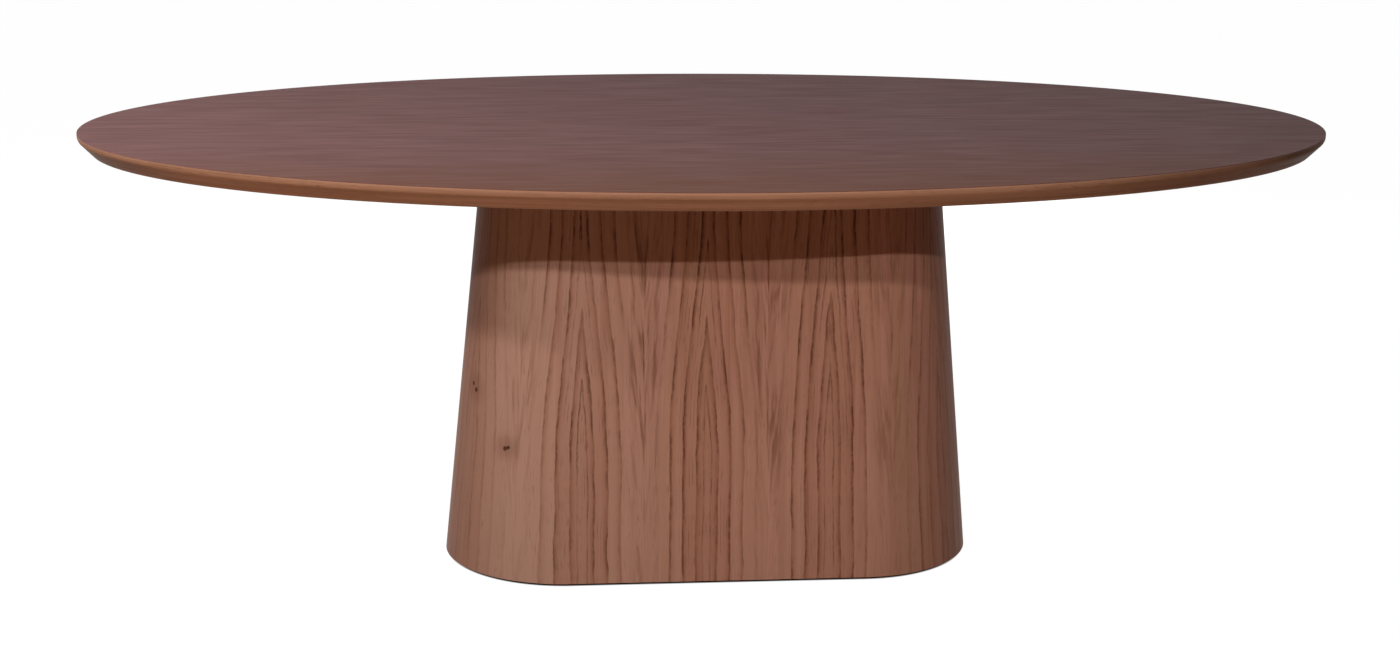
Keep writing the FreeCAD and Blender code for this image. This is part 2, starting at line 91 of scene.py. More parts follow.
class TableSizes(bpy.types.PropertyGroup):
    """Sizes of the pieces that are modelled here."""

    top_length: FloatProperty(
        name="Top length",
        description="Length of the oval top",
        default=FACE_BOX[1].x - FACE_BOX[0].x,
        unit="LENGTH",
    )
    top_width: FloatProperty(
        name="Top width",
        description="Width of the oval top",
        default=-2.0 * LIPPING_BOX[0].y,
        unit="LENGTH",
    )
    edge_height: FloatProperty(
        name="Edge height",
        description="Height of the upright face of the edge",
        default=0.0095,
        unit="LENGTH",
    )
    bevel_drop: FloatProperty(
        name="Bevel drop",
        description="Height of the undercut bevel, with the backing sheet",
        default=0.0245,
        unit="LENGTH",
    )
    bevel_inset: FloatProperty(
        name="Bevel inset",
        description="How far the undercut bevel runs inwards",
        default=0.024,
        unit="LENGTH",
    )
    lipping_width: FloatProperty(
        name="Lipping width",
        description="Width of the solid lipping round the core",
        default=0.046,
        unit="LENGTH",
    )
    arris: FloatProperty(
        name="Eased arris",
        description="How much the sharp edges are eased",
        default=0.0008,
        unit="LENGTH",
    )
    edge_round: FloatProperty(
        name="Rounded turn",
        description="How far the turn from the upright edge into the bevel is rounded",
        default=0.0035,
        unit="LENGTH",
    )
    base_lean: FloatProperty(
        name="Pedestal lean",
        description="How far each side of the pedestal leans inwards from foot to head",
        default=0.072,
        unit="LENGTH",
    )
    veneer: FloatProperty(
        name="Veneer thickness",
        description="Thickness of the face and pedestal veneers",
        default=FACE_BOX[1].z - FACE_BOX[0].z,
        unit="LENGTH",
    )
    oval_steps: IntProperty(
        name="Steps round the oval",
        description="Number of points round the edge of the top",
        default=720,
        min=72,
    )
    bend_steps: IntProperty(
        name="Steps round an end",
        description="Number of faces round a quarter of the pedestal",
        default=72,
        min=12,
    )


class TableColours(bpy.types.PropertyGroup):
    """Colours of the finishes, as they look under plain light; some of them paint highlight, sheen or
    shade.
    """

    top_light: FloatVectorProperty(
        name="Top, light",
        description="Light wood of the face veneer",
        default=(0.151, 0.0685, 0.0645),
        subtype="COLOR",
    )
    top_dark: FloatVectorProperty(
        name="Top, dark",
        description="Dark wood of the face veneer",
        default=(0.122, 0.0535, 0.0512),
        subtype="COLOR",
    )
    # Painted reflection: this browner colour towards the front stands in for the weaker sheen the top
    # reflects there.
    top_less_sheen: FloatVectorProperty(
        name="Top, warm",
        description="Browner wood towards the front of the face veneer",
        default=(0.111, 0.0415, 0.0245),
        subtype="COLOR",
    )
    rim_light: FloatVectorProperty(
        name="Lipping, light",
        description="Light wood of the lipping",
        default=(0.271, 0.135, 0.082),
        subtype="COLOR",
    )
    rim_dark: FloatVectorProperty(
        name="Lipping, dark",
        description="Dark wood of the lipping",
        default=(0.188, 0.086, 0.048),
        subtype="COLOR",
    )
    # Painted highlight: this paler colour along the top arris stands in for light catching the eased edge.
    rim_arris_highlight: FloatVectorProperty(
        name="Lipping, highlit",
        description="Paler wood along the highlit arris of the lipping",
        default=(0.345, 0.188, 0.125),
        subtype="COLOR",
    )
    # Painted shade: this deeper colour on the bevel towards the two tips stands in for the shade beneath
    # them.
    rim_tip_shade: FloatVectorProperty(
        name="Lipping, deep",
        description="Deeper wood of the bevel towards the two tips of the oval",
        default=(0.072, 0.036, 0.024),
        subtype="COLOR",
    )
    base_light: FloatVectorProperty(
        name="Pedestal, light",
        description="Light early wood of the pedestal veneer",
        default=(0.330, 0.160, 0.120),
        subtype="COLOR",
    )
    base_tan: FloatVectorProperty(
        name="Pedestal, tan",
        description="Yellower patches of the pedestal veneer",
        default=(0.275, 0.137, 0.084),
        subtype="COLOR",
    )
    base_dark: FloatVectorProperty(
        name="Pedestal, dark",
        description="Darker streaks of the pedestal veneer",
        default=(0.222, 0.094, 0.059),
        subtype="COLOR",
    )
    base_late: FloatVectorProperty(
        name="Pedestal, late wood",
        description="Redder wood that leads up to each ring line",
        default=(0.204, 0.077, 0.042),
        subtype="COLOR",
    )
    # Also used as painted shade on the upper parts of the pedestal's two ends.
    base_feather_and_shade: FloatVectorProperty(
        name="Pedestal, feathered",
        description="Brown feathering where two leaves meet",
        default=(0.132, 0.050, 0.028),
        subtype="COLOR",
    )
    # Painted light: this paler colour stands in for sheen on the pedestal's left end and for the stronger
    # light towards its foot.
    base_painted_light: FloatVectorProperty(
        name="Pedestal, pale",
        description="Paler wood towards the left end of the pedestal",
        default=(0.318, 0.195, 0.147),
        subtype="COLOR",
    )
    ring_line: FloatVectorProperty(
        name="Ring lines",
        description="Dark late wood in the arched figure of the pedestal",
        default=(0.065, 0.019, 0.010),
        subtype="COLOR",
    )
    floor: FloatVectorProperty(
        name="Floor",
        description="Light that the studio floor throws back",
        default=(0.53, 0.30, 0.16),
        subtype="COLOR",
    )


# Working on one mesh at a time


def deselect_everything():
    """Leave edit mode and deselect every object."""
    active = bpy.context.view_layer.objects.active
    if active is not None and active.mode != "OBJECT":
        bpy.ops.object.mode_set(mode="OBJECT")
    bpy.ops.object.select_all(action="DESELECT")


def work_on(piece, mode="OBJECT"):
    """Make one piece the only one selected, in the given mode."""
    deselect_everything()
    bpy.context.view_layer.objects.active = piece
    piece.select_set(True)
    if mode == "EDIT":
        bpy.ops.object.mode_set(mode="EDIT")


def select_parts(piece, kind, wanted):
    """Select the points, edges or faces that pass a test, in edit mode."""
    bpy.ops.mesh.select_mode(type=kind)
    bpy.ops.mesh.select_all(action="DESELECT")
    shape = bmesh.from_edit_mesh(piece.data)
    parts = {"VERT": shape.verts, "EDGE": shape.edges, "FACE": shape.faces}[kind]
    for part in parts:
        if wanted(part):
            part.select_set(True)
    shape.select_flush_mode()
    bmesh.update_edit_mesh(piece.data)


def at_height(height):
    """A test for edges that lie at one height."""
    return lambda edge: all(abs(point.co.z - height) < TINY for point in edge.verts)


def face_outwards():
    """Turn the faces of a closed mesh outwards, in edit mode."""
    bpy.ops.mesh.select_all(action="SELECT")
    bpy.ops.mesh.remove_doubles(threshold=TINY)
    bpy.ops.mesh.normals_make_consistent(inside=False)


def copy_of(source, name):
    """A copy of a piece with a mesh of its own."""
    work_on(source)
    bpy.ops.object.duplicate(linked=False)
    piece = bpy.context.view_layer.objects.active
    piece.name = name
    piece.data.name = name
    return piece


def cut_away(piece, point, direction, fill):
    """Cut a piece by a plane and keep the side that the direction points to."""
    work_on(piece, "EDIT")
    bpy.ops.mesh.select_all(action="SELECT")
    bpy.ops.mesh.bisect(
        plane_co=point,
        plane_no=direction,
        use_fill=fill,
        clear_inner=True,
        threshold=TINY / 10,
    )
    bpy.ops.object.mode_set(mode="OBJECT")


def remove(piece):
    """Delete a blank once its copies are made."""
    deselect_everything()
    bpy.data.objects.remove(piece)


def smooth_shading(piece):
    """Smooth the gentle turns and keep flat faces flat."""
    work_on(piece)
    bpy.ops.object.shade_smooth_by_angle(angle=math.radians(35.0))
    bpy.ops.object.modifier_add(type="WEIGHTED_NORMAL")
    modifier = piece.modifiers[-1]
    modifier.keep_sharp = True
    bpy.ops.object.modifier_apply(modifier=modifier.name)


def lay_grain_map(piece, place_of):
    """Give a piece a UV map in metres: x along or round the piece, y across or up it."""
    layer = piece.data.uv_layers.get("grain") or piece.data.uv_layers.new(name="grain")
    for loop in piece.data.loops:
        point = piece.data.vertices[loop.vertex_index].co
        layer.data[loop.index].uv = place_of(point)
    piece.data.uv_layers.active = layer


def hand_over(piece, node, material):
    """Put a finished piece in a CAD node's place."""
    piece.data.materials.clear()
    piece.data.materials.append(material)
    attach(piece, TABLE_BODY)
    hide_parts(node)


def dress_nodes(names, material):
    """Give CAD nodes that stay as they are a finish."""
    for name in names:
        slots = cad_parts[name].data.materials
        slots.clear()
        slots.append(material)


# Wiring of materials


class Wiring:
    """Adds nodes to one node tree and joins them up."""

    def __init__(self, tree):
        self.tree = tree

    def node(self, kind, **settings):
        made = self.tree.nodes.new(kind)
        for name, value in settings.items():
            setattr(made, name, value)
        return made

    def join(self, value, socket):
        if isinstance(value, bpy.types.NodeSocket):
            self.tree.links.new(value, socket)
        else:
            socket.default_value = value

    def math(self, operation, *values, clamp=False):
        made = self.node("ShaderNodeMath", operation=operation, use_clamp=clamp)
        for value, socket in zip(values, made.inputs):
            self.join(value, socket)
        return made.outputs[0]

    def plus(self, first, second):
        return self.math("ADD", first, second)

    def minus(self, first, second):
        return self.math("SUBTRACT", first, second)

    def times(self, *values):
        product = values[0]
        for value in values[1:]:
            product = self.math("MULTIPLY", product, value)
        return product

    def size_of(self, value):
        return self.math("ABSOLUTE", value)

    def split(self, vector):
        made = self.node("ShaderNodeSeparateXYZ")
        self.join(vector, made.inputs[0])
        return made.outputs

    def vector(self, x, y, z=0.0):
        made = self.node("ShaderNodeCombineXYZ")
        for value, socket in zip((x, y, z), made.inputs):
            self.join(value, socket)
        return made.outputs[0]

    def length(self, vector):
        made = self.node("ShaderNodeVectorMath", operation="LENGTH")
        self.join(vector, made.inputs[0])
        return made.outputs["Value"]

    def noise(self, place, detail, roughness, rates=None):
        """Noise at a place, which is first multiplied by the rates along x, y and z."""
        if rates is not None:
            stretched = self.node("ShaderNodeVectorMath", operation="MULTIPLY")
            self.join(place, stretched.inputs[0])
            stretched.inputs[1].default_value = rates
            place = stretched.outputs[0]
        made = self.node("ShaderNodeTexNoise", noise_dimensions="3D")
        self.join(place, made.inputs["Vector"])
        made.inputs["Scale"].default_value = 1.0
        made.inputs["Detail"].default_value = detail
        made.inputs["Roughness"].default_value = roughness
        return made.outputs["Fac"]

    def chance(self, value):
        made = self.node("ShaderNodeTexWhiteNoise", noise_dimensions="1D")
        self.join(value, made.inputs["W"])
        return made.outputs["Value"]

    def map_range(self, kind, value, start, end, low, high):
        made = self.node("ShaderNodeMapRange", interpolation_type=kind)
        settings = {"Value": value, "From Min": start, "From Max": end, "To Min": low, "To Max": high}
        for name, setting in settings.items():
            self.join(setting, made.inputs[name])
        return made.outputs["Result"]

    def fade(self, value, start, end, low=0.0, high=1.0):
        """Go softly from low to high while the value goes from start to end."""
        return self.map_range("SMOOTHSTEP", value, start, end, low, high)

    def scale(self, value, start, end, low, high):
        """Go evenly from low to high while the value goes from start to end."""
        return self.map_range("LINEAR", value, start, end, low, high)

    def blend(self, share, first, second):
        made = self.node("ShaderNodeMix", data_type="RGBA", blend_type="MIX")
        self.join(share, made.inputs["Factor"])
        for value, socket in ((first, made.inputs[6]), (second, made.inputs[7])):
            if not isinstance(value, bpy.types.NodeSocket):
                value = (*value[:3], 1.0)
            self.join(value, socket)
        return made.outputs[2]

    def layered(self, colour, *layers):
        """Lay further colours over a colour, each with its share."""
        for share, layer in layers:
            colour = self.blend(share, colour, layer)
        return colour

    def group(self, tree, **values):
        made = self.node("ShaderNodeGroup", node_tree=tree)
        for name, value in values.items():
            self.join(value, made.inputs[name.replace("_", " ").title()])
        return made.outputs


NUMBER = "NodeSocketFloat"
VECTOR = "NodeSocketVector"

# How often the grain changes in a metre: across it, along it and through the board
BROAD_STREAKS = (75.0, 1.6, 1.0)
FINE_STREAKS = (420.0, 7.0, 1.0)
PORE_DOTS = (950.0, 38.0, 1.0)
PORE_PATCHES = (55.0, 3.0, 1.0)
TONE_DRIFT = (26.0, 1.3, 1.0)

# The arched figure of the pedestal, in metres: where it lies, and how high its innermost arch stands
FIGURE_SHIFT = 0.0235
RING_SPACING = 0.0235
RING_START = 1.94
RINGS_CLIMB = (0.22, 0.70)
MIDDLE_APEX = 0.478
APEX_STEP_OUTWARDS = 0.035
APEX_STEP_RIGHTWARDS = 0.016
APEX_DROP_RIGHT_END = 0.19

# Seeds that keep the leaves' figures apart
FIRST_SEED = 3.0
SEED_SPREAD = 31.0

# Pin knots of the pedestal's left end, in metres
PIN_KNOTS = (
    {"girth": -0.4605, "up": 0.3365, "size": 0.0042},
    {"girth": -0.4505, "up": 0.3270, "size": 0.0046},
    {"girth": -0.3728, "up": 0.2380, "size": 0.0046},
    {"girth": -0.3668, "up": 0.2405, "size": 0.0036},
)
KNOT_RAGGEDNESS = (620.0, 380.0, 1.0)


def new_group(name, inputs, outputs):
    """A shader node group with named sockets, its wiring, and its two ends."""
    tree = bpy.data.node_groups.new(name, "ShaderNodeTree")
    for socket, kind in inputs.items():
        tree.interface.new_socket(name=socket, in_out="INPUT", socket_type=kind)
    for socket, kind in outputs.items():
        tree.interface.new_socket(name=socket, in_out="OUTPUT", socket_type=kind)
    wiring = Wiring(tree)
    start = wiring.node("NodeGroupInput")
    end = wiring.node("NodeGroupOutput")
    return tree, wiring, start.outputs, end.inputs


def streak_group():
    """Fine grain of a straight cut: streaks, open pores and a slow drift of tone."""
    found = bpy.data.node_groups.get("Wood Streaks")
    if found:
        return found
    tree, wiring, start, end = new_group(
        "Wood Streaks",
        {"Place": VECTOR, "Shortness": NUMBER},
        {"Streaks": NUMBER, "Pores": NUMBER, "Drift": NUMBER},
    )
    place = start["Place"]
    across, along, depth = wiring.split(place)
    short = wiring.vector(across, wiring.times(along, start["Shortness"]), depth)
    broad = wiring.noise(short, 2.0, 0.55, BROAD_STREAKS)
    fine = wiring.noise(place, 2.0, 0.6, FINE_STREAKS)
    streaks = wiring.plus(wiring.times(broad, 0.55), wiring.times(fine, 0.45))
    wiring.join(wiring.fade(streaks, 0.36, 0.64), end["Streaks"])
    dots = wiring.fade(wiring.noise(place, 1.0, 0.5, PORE_DOTS), 0.60, 0.70)
    patches = wiring.fade(wiring.noise(place, 1.0, 0.5, PORE_PATCHES), 0.40, 0.62)
    wiring.join(wiring.times(dots, patches), end["Pores"])
    drift = wiring.noise(short, 2.0, 0.5, TONE_DRIFT)
    wiring.join(wiring.fade(drift, 0.32, 0.68), end["Drift"])
    return tree


def ring_group():
    """Arched figure of a leaf cut near the heart: dark late-wood lines and the tone between them."""
    found = bpy.data.node_groups.get("Ring Lines")
    if found:
        return found
    tree, wiring, start, end = new_group(
        "Ring Lines",
        {"Across": NUMBER, "Along": NUMBER, "Seed": NUMBER, "Spacing": NUMBER, "Apex": NUMBER},
        {"Lines": NUMBER, "Tone": NUMBER},
    )
    across = start["Across"]
    along = start["Along"]
    seed = wiring.times(start["Seed"], SEED_SPREAD)
    off_heart = wiring.size_of(across)

    def noise_at(across_rate, along_rate, detail):
        place = wiring.vector(
            wiring.times(across, across_rate), wiring.times(along, along_rate), seed
        )
        return wiring.noise(place, detail, 0.55)

    def wobble(across_rate, along_rate, detail, width):
        return wiring.times(wiring.minus(noise_at(across_rate, along_rate, detail), 0.5), width)

    def line_within(ring_part, begins, full, ends):
        return wiring.times(
            wiring.fade(ring_part, begins, full), wiring.fade(ring_part, ends, 1.0, 1.0, 0.0)
        )

    # Which ring each place lies in
    swayed = wiring.plus(across, wobble(4.0, 3.2, 1.0, width=0.014))
    square = wiring.plus(wiring.times(swayed, swayed), 0.000002)
    climb = wiring.scale(start["Seed"], 0.0, 1.0, 0.028, 0.034)
    rise = wiring.times(wiring.fade(along, *RINGS_CLIMB), climb)
    apex_rise = wiring.times(wiring.fade(start["Apex"], *RINGS_CLIMB), climb)
    reach = wiring.plus(wiring.math("SQRT", square), rise)
    reach = wiring.plus(reach, wobble(20.0, 9.0, 1.0, width=0.0075))
    reach = wiring.plus(reach, wobble(90.0, 42.0, 2.0, width=0.0040))
    reach = wiring.minus(reach, apex_rise)
    ring = wiring.plus(wiring.math("DIVIDE", reach, start["Spacing"]), RING_START)
    ring_part = wiring.math("FRACT", ring)

    # Main lines, one to a ring
    ring_number = wiring.plus(wiring.math("FLOOR", ring), seed)
    weight = wiring.scale(wiring.chance(ring_number), 0.0, 1.0, 0.60, 1.0)
    outwards = wiring.fade(off_heart, 0.060, 0.085, 1.0, 0.22)
    broken = wiring.fade(noise_at(40.0, 14.0, 2.0), 0.38, 0.60, 0.34, 1.0)
    dashes = wiring.fade(noise_at(160.0, 90.0, 1.0), 0.34, 0.54, 0.62, 1.0)
    line = line_within(ring_part, 0.70, 0.94, 0.955)
    line = wiring.times(line, weight, outwards, broken, dashes)

    # Thin lines, four to a ring, and two to a ring at the heart
    thin_part = wiring.math("FRACT", wiring.times(ring, 4.0))
    some = wiring.fade(noise_at(55.0, 11.0, 2.0), 0.50, 0.66, 0.0, 0.55)
    thin = wiring.times(line_within(thin_part, 0.62, 0.92, 0.94), some)
    heart_part = wiring.math("FRACT", wiring.times(ring, 2.0))
    at_heart = wiring.fade(off_heart, 0.012, 0.028, 0.75, 0.0)
    heart = wiring.times(line_within(heart_part, 0.62, 0.93, 0.95), at_heart, broken)
    thin = wiring.math("MAXIMUM", thin, heart)
    thin = wiring.times(thin, wiring.fade(off_heart, 0.030, 0.070, 1.0, 0.35), dashes)
    wiring.join(wiring.math("MAXIMUM", line, thin), end["Lines"])
    wiring.join(wiring.times(ring_part, outwards), end["Tone"])
    return tree


def new_material(name):
    """An empty material, its wiring and its Principled shader."""
    material = bpy.data.materials.new(name)
    material.use_nodes = True
    wiring = Wiring(material.node_tree)
    shader = material.node_tree.nodes["Principled BSDF"]
    return material, wiring, shader


def finish(wiring, shader, colour, roughness, height=None, strength=0.2, depth=0.0002):
    """Give the shader its colour and gloss, and its relief where there is a height map."""
    wiring.join(colour, shader.inputs["Base Color"])
    wiring.join(roughness, shader.inputs["Roughness"])
    if height is None:
        return
    bump = wiring.node("ShaderNodeBump")
    bump.inputs["Strength"].default_value = strength
    bump.inputs["Distance"].default_value = depth
    wiring.join(height, bump.inputs["Height"])
    wiring.join(bump.outputs["Normal"], shader.inputs["Normal"])


def object_vector(wiring):
    """Object coordinates."""
    return wiring.node("ShaderNodeTexCoord").outputs["Object"]


def object_place(wiring):
    """Object coordinates, split into X, Y and Z."""
    return wiring.split(object_vector(wiring))


def grain_place(wiring):
    """The piece's own grain map: the place along or round it, and the place across or up it."""
    place = wiring.split(wiring.node("ShaderNodeUVMap", uv_map="grain").outputs["UV"])
    return place["X"], place["Y"]


def darker(colour, share):
    """A share of a colour."""
    return tuple(share * channel for channel in colour)


def straight_wood(
    wiring,
    shader,
    place,
    light,
    dark,
    pore,
    roughness,
    shortness=1.0,
    openness=0.55,
    drifting=0.35,
    layers=(),
):
    """Colour, gloss and relief of wood with straight grain, under any further layers of tone."""
    streaks, pores, drift = wiring.group(streak_group(), place=place, shortness=shortness)
    colour = wiring.layered(
        wiring.blend(wiring.times(streaks, 0.75), light, dark),
        (wiring.times(drift, drifting), darker(dark, 0.80)),
        (wiring.times(pores, openness), pore),
        *layers,
    )
    gloss = wiring.scale(streaks, 0.0, 1.0, roughness - 0.04, roughness + 0.06)
    height = wiring.minus(wiring.times(streaks, 0.3), pores)
    finish(wiring, shader, colour, gloss, height, strength=0.63 * openness)


def top_wood(colours):
    """Face veneer, grain along the table, painted browner towards the front, where the top shows less
    reflected sheen.
    """
    material, wiring, shader = new_material("face_veneer")
    shader.inputs["Specular IOR Level"].default_value = 0.055
    place = object_place(wiring)
    # Painted reflection: browner towards the front, where the top reflects less sheen
    front = wiring.fade(place["Y"], -0.60, -0.15, 0.92, 0.0)
    straight_wood(
        wiring,
        shader,
        wiring.vector(place["Y"], place["X"]),
        light=colours.top_light,
        dark=colours.top_dark,
        pore=(0.052, 0.022, 0.020),
        roughness=0.58,
        shortness=4.0,
        openness=0.25,
        drifting=0.50,
        layers=((front, colours.top_less_sheen),),
    )
    return material


def rim_wood(colours):
    """Solid lipping, grain along the edge, with a painted highlight along the arris and painted shade on
    the bevel under the two tips.
    """
    material, wiring, shader = new_material("lipping_wood")
    shader.inputs["Specular IOR Level"].default_value = 0.015
    along, across = grain_place(wiring)
    # Painted highlight along the top arris of the upright edge
    arris = wiring.fade(across, 0.0, 0.004, 0.60, 0.0)
    # Painted shade on the bevel under the two tips
    tips = wiring.times(
        wiring.fade(wiring.size_of(object_place(wiring)["X"]), 0.84, 1.05),
        wiring.fade(across, 0.004, 0.016, 0.10, 0.62),
    )
    straight_wood(
        wiring,
        shader,
        wiring.vector(across, along),
        light=colours.rim_light,
        dark=colours.rim_dark,
        pore=(0.070, 0.025, 0.012),
        roughness=0.46,
        layers=((arris, colours.rim_arris_highlight), (tips, colours.rim_tip_shade)),
    )
    return material


def arched_figure(wiring, leaf, across, up):
    """Ring lines of a numbered leaf and the tone between them, its arches at a height of their own."""
    seed = wiring.chance(wiring.plus(leaf, FIRST_SEED))
    apex = wiring.plus(wiring.times(wiring.size_of(leaf), APEX_STEP_OUTWARDS), MIDDLE_APEX)
    apex = wiring.plus(apex, wiring.times(leaf, APEX_STEP_RIGHTWARDS))
    apex = wiring.minus(apex, wiring.fade(leaf, 1.4, 1.6, 0.0, APEX_DROP_RIGHT_END))
    return wiring.group(
        ring_group(), across=across, along=up, seed=seed, spacing=RING_SPACING, apex=apex
    )


def feathering(wiring, leaf, from_joint, up, turned):
    """How much brown feathering there is beside the joints of the leaves."""
    lean = wiring.minus(from_joint, wiring.times(up, 0.08))
    place = wiring.vector(wiring.times(lean, 95.0), wiring.times(up, 6.5), wiring.times(leaf, 5.0))
    return wiring.times(
        wiring.fade(wiring.noise(place, 3.0, 0.6), 0.46, 0.66),
        wiring.fade(from_joint, 0.006, 0.046, 1.0, 0.0),
        wiring.fade(up, 0.10, 0.36, 0.35, 1.0),
        wiring.fade(wiring.size_of(turned), 0.24, 0.32, 1.0, 0.5),
    )


def heart_tone(wiring, off_heart, up, streaks):
    """How much redder a leaf is at its heart, and in a streaky band on both sides of it."""
    heart = wiring.times(
        wiring.fade(off_heart, 0.034, 0.050, 1.0, 0.0), wiring.fade(up, 0.16, 0.46, 0.26, 0.06)
    )
    band = wiring.times(
        wiring.fade(off_heart, 0.028, 0.037),
        wiring.fade(off_heart, 0.040, 0.048, 0.34, 0.0),
        wiring.scale(streaks, 0.0, 1.0, 0.35, 1.0),
    )
    return wiring.math("MAXIMUM", heart, band)


def with_pin_knots(wiring, colour, colours, girth, up):
    """A colour with a dark ragged spot in a soft halo at each pin knot."""
    for knot in PIN_KNOTS:
        size = knot["size"]
        off = wiring.vector(wiring.minus(girth, knot["girth"]), wiring.minus(up, knot["up"]))
        ragged = wiring.minus(wiring.noise(off, 2.0, 0.6, KNOT_RAGGEDNESS), 0.5)
        away = wiring.plus(wiring.length(off), wiring.times(ragged, 1.3 * size))
        colour = wiring.layered(
            colour,
            (wiring.fade(away, size, 9.0 * size, 0.22, 0.0), colours.base_feather_and_shade),
            (wiring.fade(away, 0.55 * size, 1.15 * size, 0.95, 0.0), darker(colours.ring_line, 0.45)),
        )
    return colour


def pedestal_wood(colours, pitch):
    """Pedestal veneer, grain upright, the arched figure repeated on every leaf."""
    material, wiring, shader = new_material("pedestal_veneer")
    shader.inputs["Specular IOR Level"].default_value = 0.05
    x = object_place(wiring)["X"]
    girth, up = grain_place(wiring)
    shifted = wiring.plus(girth, FIGURE_SHIFT)
    leaf = wiring.math("FLOOR", wiring.plus(wiring.math("DIVIDE", shifted, pitch), 0.5))
    across = wiring.minus(shifted, wiring.times(leaf, pitch))
    off_heart = wiring.size_of(across)
    from_joint = wiring.minus(pitch / 2, off_heart)
    turned = wiring.math("WRAP", girth, 2.5 * pitch, -2.5 * pitch)

    # The figure is quieter round the two ends, softer at the foot and stronger at the head
    quiet = wiring.times(
        wiring.fade(turned, 0.31, 0.38, 1.0, 0.50), wiring.fade(turned, -0.38, -0.31, 0.42, 1.0)
    )
    lines, tone = arched_figure(wiring, leaf, across, up)
    lines = wiring.times(lines, quiet, wiring.fade(up, 0.02, 0.32, 0.85, 1.0))
    lines = wiring.math("MULTIPLY", lines, wiring.fade(up, 0.50, 0.64, 1.0, 1.45), clamp=True)
    streaks, pores, drift = wiring.group(
        streak_group(), place=wiring.vector(girth, up), shortness=1.0
    )

    # Painted shade: the upper parts of the pedestal's two ends are darkened towards the feathering brown
    shaded_ends = wiring.times(
        wiring.fade(wiring.size_of(x), 0.34, 0.44), wiring.fade(up, 0.30, 0.60, 0.0, 0.62)
    )
    redder = wiring.times(heart_tone(wiring, off_heart, up, streaks), quiet)
    late_wood = wiring.times(wiring.fade(tone, 0.35, 0.95, 0.0, 0.42), quiet)
    colour = wiring.layered(
        wiring.blend(wiring.times(streaks, 0.62), colours.base_light, colours.base_dark),
        (wiring.times(drift, 0.65), colours.base_tan),
        # Painted sheen: paler towards the left end
        (wiring.fade(x, -0.45, 0.05, 0.75, 0.0), colours.base_painted_light),
        # Painted shade: darker round the curve of the left end, where it turns away from the light
        (wiring.fade(x, -0.47, -0.36, 0.60, 0.0), colours.base_dark),
        # Painted shade on the upper ends
        (shaded_ends, colours.base_feather_and_shade),
        # Painted light: paler towards the foot
        (wiring.fade(up, 0.05, 0.50, 0.22, 0.0), colours.base_painted_light),
        (redder, colours.base_late),
        (late_wood, colours.base_late),
        (feathering(wiring, leaf, from_joint, up, turned), colours.base_feather_and_shade),
        (wiring.times(pores, 0.35), colours.ring_line),
        (wiring.times(lines, 0.92), colours.ring_line),
    )
    colour = with_pin_knots(wiring, colour, colours, girth, up)
    gloss = wiring.scale(streaks, 0.0, 1.0, 0.46, 0.56)
    height = wiring.minus(wiring.times(streaks, 0.3), pores)
    height = wiring.minus(height, wiring.times(lines, 0.35))
    finish(wiring, shader, colour, gloss, height, strength=0.35)
    return material


# Pieces


def oval_blank(name, sizes, height, fill):
    """An oval loop or disc of the top's outline, left in edit mode."""
    deselect_everything()
    bpy.ops.mesh.primitive_circle_add(vertices=sizes.oval_steps, radius=1.0, fill_type=fill)
    blank = bpy.context.view_layer.objects.active
    blank.name = name
    bpy.ops.object.mode_set(mode="EDIT")
    bpy.ops.mesh.select_all(action="SELECT")
    half_sizes = (sizes.top_length / 2, sizes.top_width / 2, 1.0)
    bpy.ops.transform.resize(value=half_sizes, center_override=CENTRE)
    bpy.ops.transform.translate(value=(0.0, 0.0, height))
    return blank


class TABLE_OT_face_leaves(bpy.types.Operator):
    """Five leaves of face veneer on the top"""

    bl_idname = "table.face_leaves"
    bl_label = "Face leaves"

    def execute(self, context):
        sizes = context.scene.table_sizes
        material = top_wood(context.scene.table_colours)
        low = FACE_BOX[0].z
        high = low + sizes.veneer
        blank = oval_blank("face_blank", sizes, low, "NGON")
        bpy.ops.mesh.extrude_region_move(TRANSFORM_OT_translate={"value": (0.0, 0.0, sizes.veneer)})
        face_outwards()
        select_parts(blank, "EDGE", at_height(high))
        bpy.ops.mesh.bevel(offset=sizes.arris, segments=3, affect="EDGES")
        bpy.ops.object.mode_set(mode="OBJECT")
        starts = [None, *FACE_JOINTS]
        ends = [*FACE_JOINTS, None]
        for number, (start, end) in enumerate(zip(starts, ends), 1):
            node = f"top_face_leaf_{number}"
            leaf = copy_of(blank, f"face_leaf_{number}_wood")
            if start is not None:
                cut_away(leaf, (0.0, start, 0.0), (0.0, 1.0, 0.0), True)
            if end is not None:
                cut_away(leaf, (0.0, end, 0.0), (0.0, -1.0, 0.0), True)
            smooth_shading(leaf)
            hand_over(leaf, node, material)
        remove(blank)
        return {"FINISHED"}


# Steps in which the length of the oval is measured
ARC_STEPS = 7200

# How far apart the lengths of lipping lie in the wood, so that no two share their grain
GRAIN_OFFSET = 7.3


def arc_lengths(half_length, half_width):
    """Distance along the oval at each of a number of equal turns of its parameter."""
    lengths = [0.0]
    last = Vector((half_length, 0.0))
    for step in range(1, ARC_STEPS + 1):
        turn = 2.0 * math.pi * step / ARC_STEPS
        point = Vector((half_length * math.cos(turn), half_width * math.sin(turn)))
        lengths.append(lengths[-1] + (point - last).length)
        last = point
    return lengths


def edge_map(half_length, half_width, top):
    """A function that finds how far along the oval a point lies, and how far below and behind its edge."""
    lengths = arc_lengths(half_length, half_width)
    whole_turn = 2.0 * math.pi

    def place_of(point, middle, offset):
        turn = math.atan2(point.y / half_width, point.x / half_length)
        turn = (turn - middle + math.pi) % whole_turn + middle - math.pi
        share = turn / whole_turn * ARC_STEPS
        step = math.floor(share)
        low = lengths[step % ARC_STEPS]
        high = lengths[step % ARC_STEPS + 1]
        around = lengths[-1] * (step // ARC_STEPS) + low + (high - low) * (share - step)
        ratio = math.hypot(point.x / half_length, point.y / half_width)
        radius = math.hypot(point.x, point.y)
        behind = radius / ratio - radius
        return (around + offset, top - point.z + behind)

    return place_of


